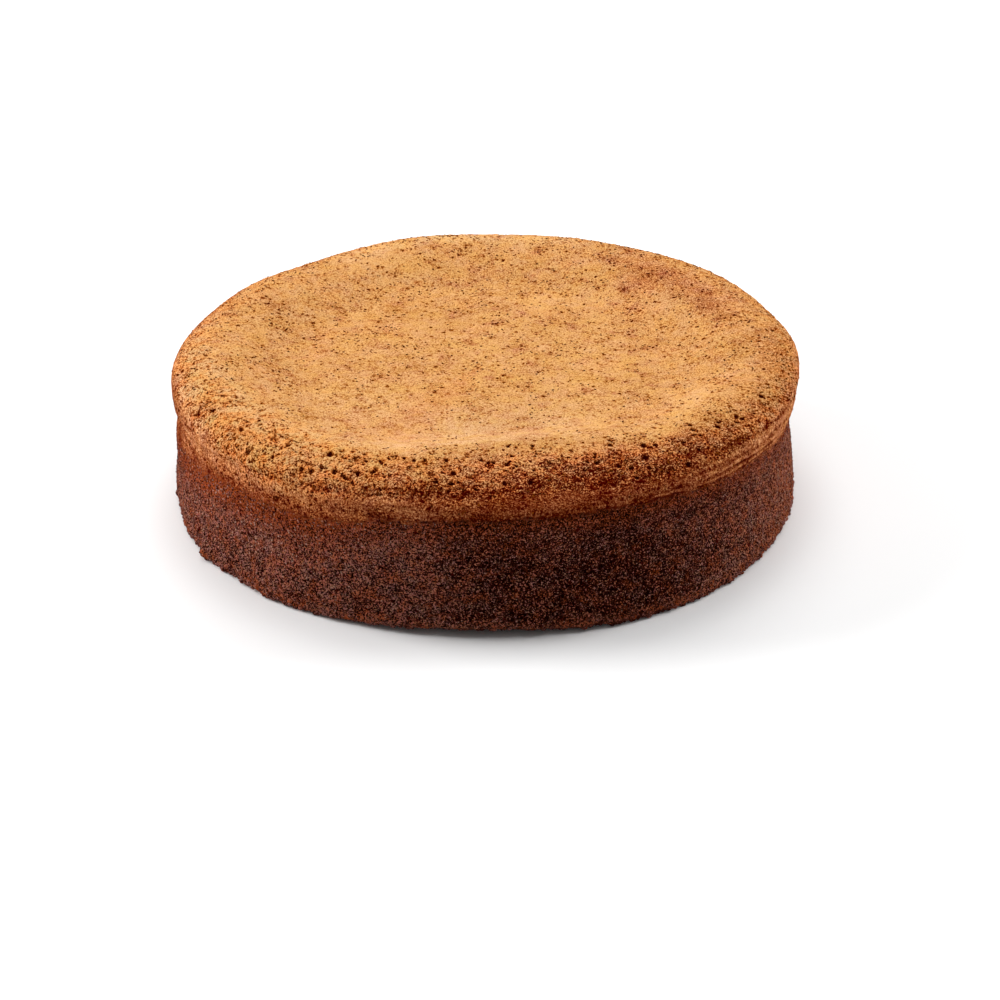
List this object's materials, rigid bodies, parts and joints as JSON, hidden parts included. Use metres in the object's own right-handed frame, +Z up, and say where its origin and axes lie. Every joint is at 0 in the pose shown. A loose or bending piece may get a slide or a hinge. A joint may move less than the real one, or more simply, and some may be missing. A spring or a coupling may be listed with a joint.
{
  "type": "poppy seed cake",
  "caption": "Round uncut poppy seed cake with a sunken golden top, a soft puffed rim and a dark crumbly side.",
  "frame": {"origin": "middle of the flat base, on the surface that the cake rests on", "axes": "+Z up out of the top, -Y towards the side that the picture shows"},
  "size_m": [0.2422, 0.2416, 0.0605],
  "materials": {
    "cake": "matte"
  },
  "bodies": {
    "root": {"cake": "cake"}
  },
  "joints": []
}
